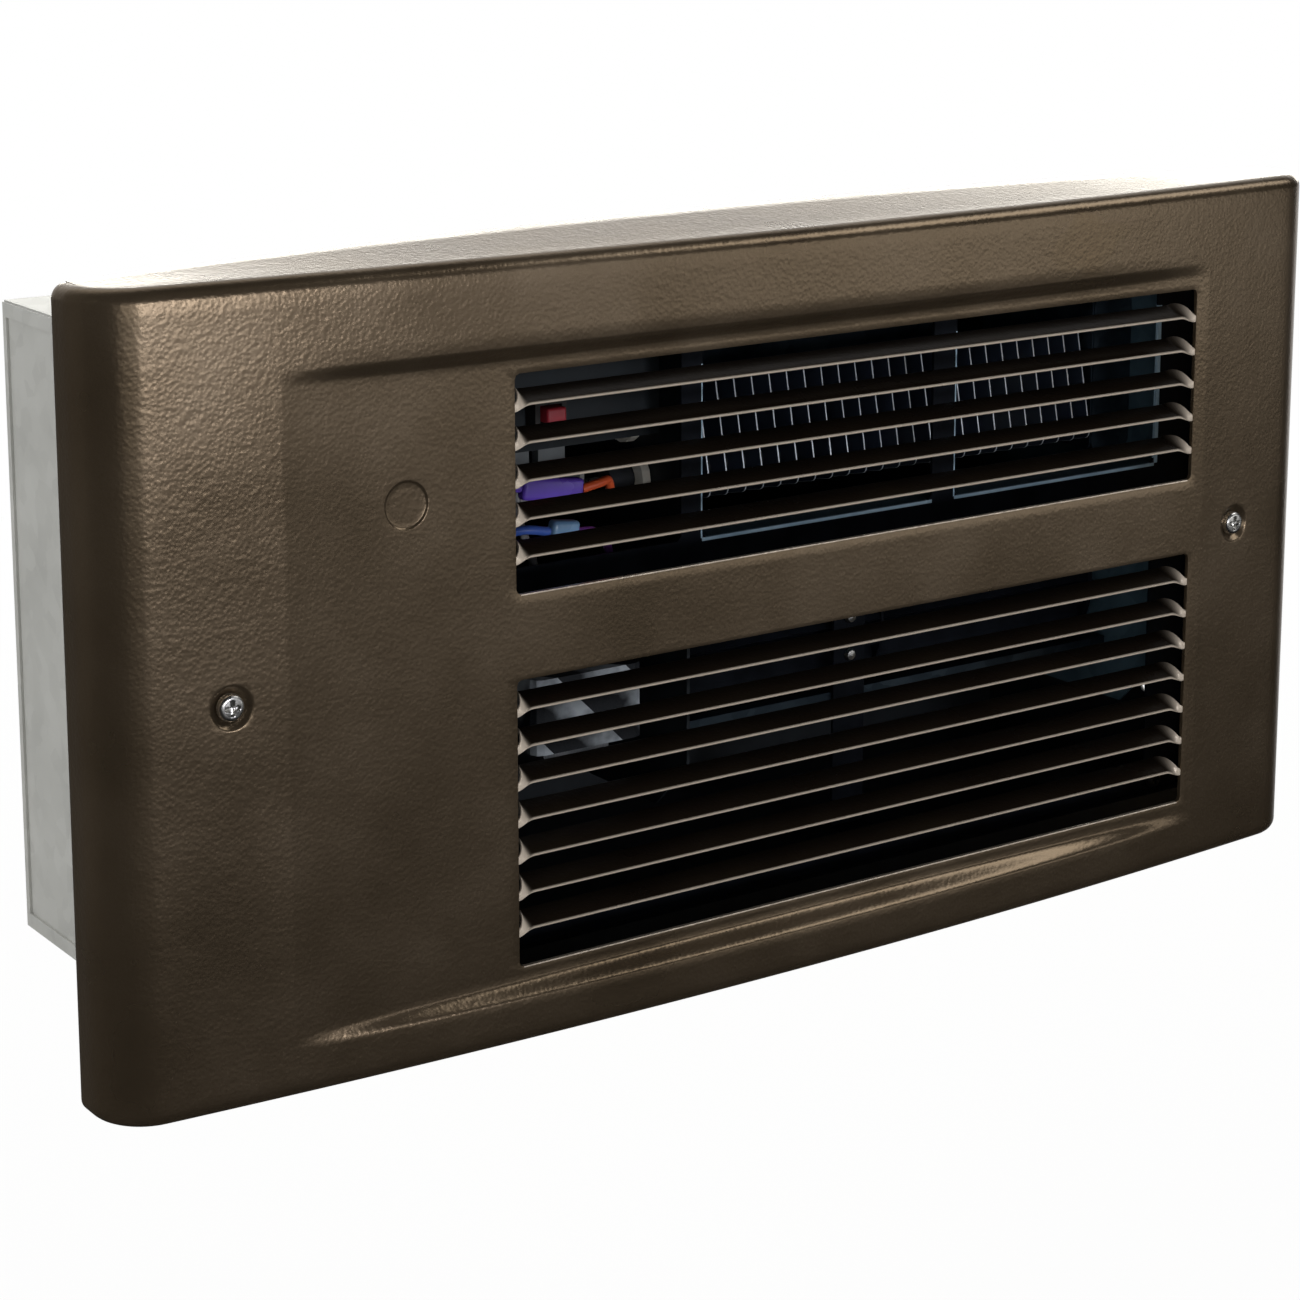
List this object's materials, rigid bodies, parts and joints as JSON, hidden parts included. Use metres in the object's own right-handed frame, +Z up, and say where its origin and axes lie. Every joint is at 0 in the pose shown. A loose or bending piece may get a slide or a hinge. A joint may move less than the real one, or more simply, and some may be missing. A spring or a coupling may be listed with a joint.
{
  "type": "wall heater",
  "caption": "Recessed fan-forced electric wall heater: open steel can, bowed louvred front cover, cross-flow blower, motor and finned heating element.",
  "frame": {"origin": "centre of the can's mouth, on the surface of the wall that the can is let into", "axes": "+X to the right as seen from the room, +Y into the wall, +Z up"},
  "size_m": [0.419, 0.1301, 0.2238],
  "materials": {
    "bronze_powder_coat": "satin powder coat",
    "galvanised_steel": "galvanised",
    "black_steel": "satin black",
    "zinc_casting": "as cast",
    "lamination_steel": "oiled",
    "coil": "taped copper winding",
    "sintered_bronze": "sintered",
    "white_ceramic": "unglazed",
    "element_steel": "bright",
    "bright_steel": "zinc plated",
    "rubber": "matte",
    "black_nylon": "matte",
    "black_phenolic": "matte",
    "clear_nylon": "milky",
    "red_nylon": "satin",
    "green_screw": "green zinc plated",
    "violet_nylon": "satin",
    "blue_nylon": "satin",
    "insulation_violet": "satin",
    "insulation_blue": "satin",
    "insulation_white": "satin",
    "insulation_red": "satin",
    "insulation_black": "satin",
    "insulation_plum": "satin",
    "insulation_grey": "satin"
  },
  "bodies": {
    "heater": {"bearing_grommet": "rubber", "blower_scroll": "galvanised_steel", "cable_bushing": "black_nylon", "centre_strap": "black_steel", "cover_screw_left": "bright_steel", "cover_screw_right": "bright_steel", "cutout_body": "black_phenolic", "cutout_bracket": "galvanised_steel", "cutout_spade_1": "clear_nylon", "cutout_spade_2": "clear_nylon", "deck_plate": "black_steel", "deck_screw_1": "bright_steel", "deck_screw_2": "bright_steel", "deck_screw_3": "bright_steel", "deck_screw_4": "bright_steel", "earth_screw": "green_screw", "element_bracket_left": "galvanised_steel", "element_bracket_right": "galvanised_steel", "element_bush_1": "white_ceramic", "element_bush_2": "white_ceramic", "element_pin_1": "bright_steel", "element_pin_2": "bright_steel", "element_spade_1": "clear_nylon", "element_spade_2": "clear_nylon", "end_bush": "sintered_bronze", "front_cover": "bronze_powder_coat", "heating_element": "element_steel", "lead_black": "insulation_black", "lead_blue": "insulation_blue", "lead_connector_1": "violet_nylon", "lead_connector_2": "blue_nylon", "lead_grey": "insulation_grey", "lead_plum": "insulation_plum", "lead_red": "insulation_red", "lead_violet": "insulation_violet", "lead_white": "insulation_white", "motor_bridge_front": "zinc_casting", "motor_bridge_rear": "zinc_casting", "motor_bush_front": "sintered_bronze", "motor_bush_rear": "sintered_bronze", "motor_coil": "coil", "motor_screw_1": "bright_steel", "motor_screw_2": "bright_steel", "motor_stack": "lamination_steel", "motor_standoff_1": "bright_steel", "motor_standoff_2": "bright_steel", "scroll_end_left": "galvanised_steel", "scroll_end_right": "galvanised_steel", "scroll_tongue": "galvanised_steel", "strap_rivet_1": "bright_steel", "strap_rivet_2": "bright_steel", "terminal_block": "black_phenolic", "terminal_screw_1": "bright_steel", "terminal_screw_2": "bright_steel", "wall_can": "galvanised_steel"},
    "blower": {"impeller": "black_steel", "motor_rotor": "lamination_steel", "motor_shaft": "bright_steel", "wheel_stub_shaft": "bright_steel"},
    "reset": {"reset_button": "red_nylon"}
  },
  "joints": [
    {"name": "blower_spin", "type": "hinge", "parent": "heater", "child": "blower", "pos_m": [0, 0.053, -0.026], "axis": [1, 0, 0], "continuous": true},
    {"name": "reset_button_press", "type": "slide", "parent": "heater", "child": "reset", "axis": [0, 1, 0], "range_m": [0, 0.0015], "stiffness_N_per_m": 600, "springref_m": -0.002}
  ]
}
